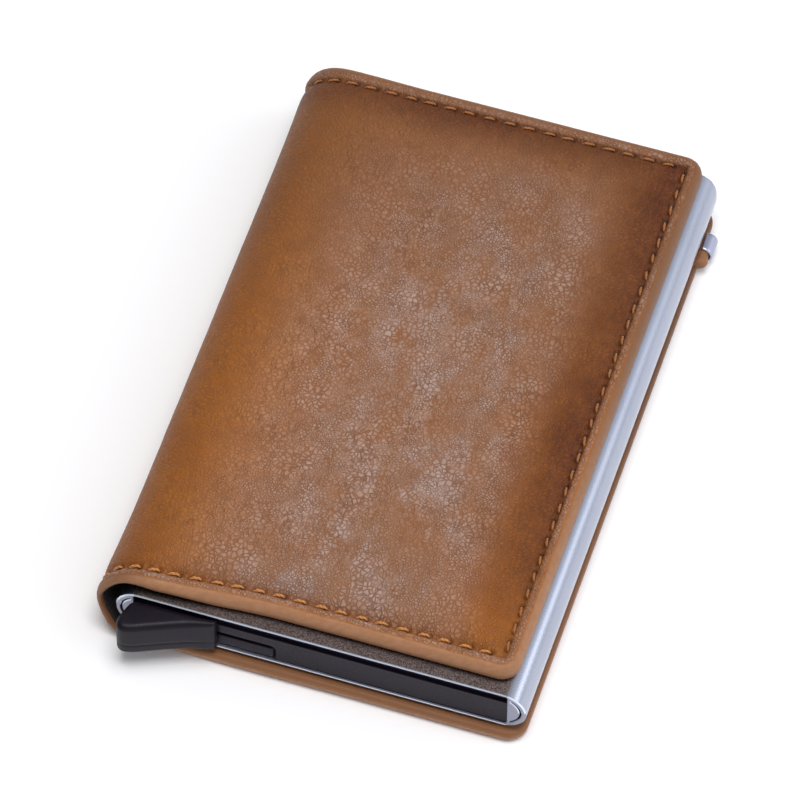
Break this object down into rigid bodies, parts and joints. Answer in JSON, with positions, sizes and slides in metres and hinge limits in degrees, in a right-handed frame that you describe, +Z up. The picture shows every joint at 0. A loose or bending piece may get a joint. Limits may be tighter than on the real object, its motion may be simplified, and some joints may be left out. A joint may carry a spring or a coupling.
{
  "type": "minimalist wallet",
  "caption": "Slim card wallet: an aluminium card case with a thumb lever that lifts the cards, in a padded, stitched leather book cover.",
  "frame": {"origin": "on the underside of the back cover, below the middle of the card case", "axes": "+X across the width away from the spine, +Y along the length towards the case mouth, +Z up through the front cover"},
  "size_m": [0.0669, 0.1033, 0.0154],
  "materials": {
    "leather": "waxed tan leather with burnished edges",
    "lining": "black lining cloth",
    "board": "grey paperboard",
    "foam": "soft foam",
    "thread": "waxed orange-yellow thread",
    "adhesive_pad": "black foam tape",
    "case_aluminium": "satin anodised",
    "clip_metal": "bright",
    "pin_steel": "ground",
    "black_plastic": "fine satin",
    "felt": "felt"
  },
  "bodies": {
    "back": {"back_leather": "leather", "back_board": "board", "back_lining": "lining", "back_thread": "thread", "mounting_tape": "adhesive_pad", "side_tab": "leather", "tab_clip": "clip_metal", "case_shell": "case_aluminium", "end_plug": "black_plastic", "pivot_pin": "pin_steel", "felt_left": "felt", "felt_right": "felt"},
    "spine": {"spine_leather": "leather", "spine_lining": "lining"},
    "front_cover": {"front_lining": "lining", "front_board": "board", "front_foam": "foam", "front_leather": "leather", "front_thread": "thread", "pocket_shallow": "leather", "pocket_deep": "leather"},
    "lever": {"lever": "black_plastic"}
  },
  "joints": [
    {"name": "spine_fold", "type": "hinge", "parent": "back", "child": "spine", "pos_m": [-0.0319, 0, 0.0023], "axis": [0, -1, 0], "range_deg": [0, 90]},
    {"name": "front_fold", "type": "hinge", "parent": "spine", "child": "front_cover", "pos_m": [-0.0319, 0, 0.01325], "axis": [0, -1, 0], "range_deg": [0, 90]},
    {"name": "lever_turn", "type": "hinge", "parent": "back", "child": "lever", "pos_m": [-0.007, -0.0423, 0.0053], "axis": [0, 0, 1], "range_deg": [0, 45]}
  ],
  "couplings": [
    {"joint": "spine_fold", "follows": "front_fold", "ratio": 1}
  ]
}
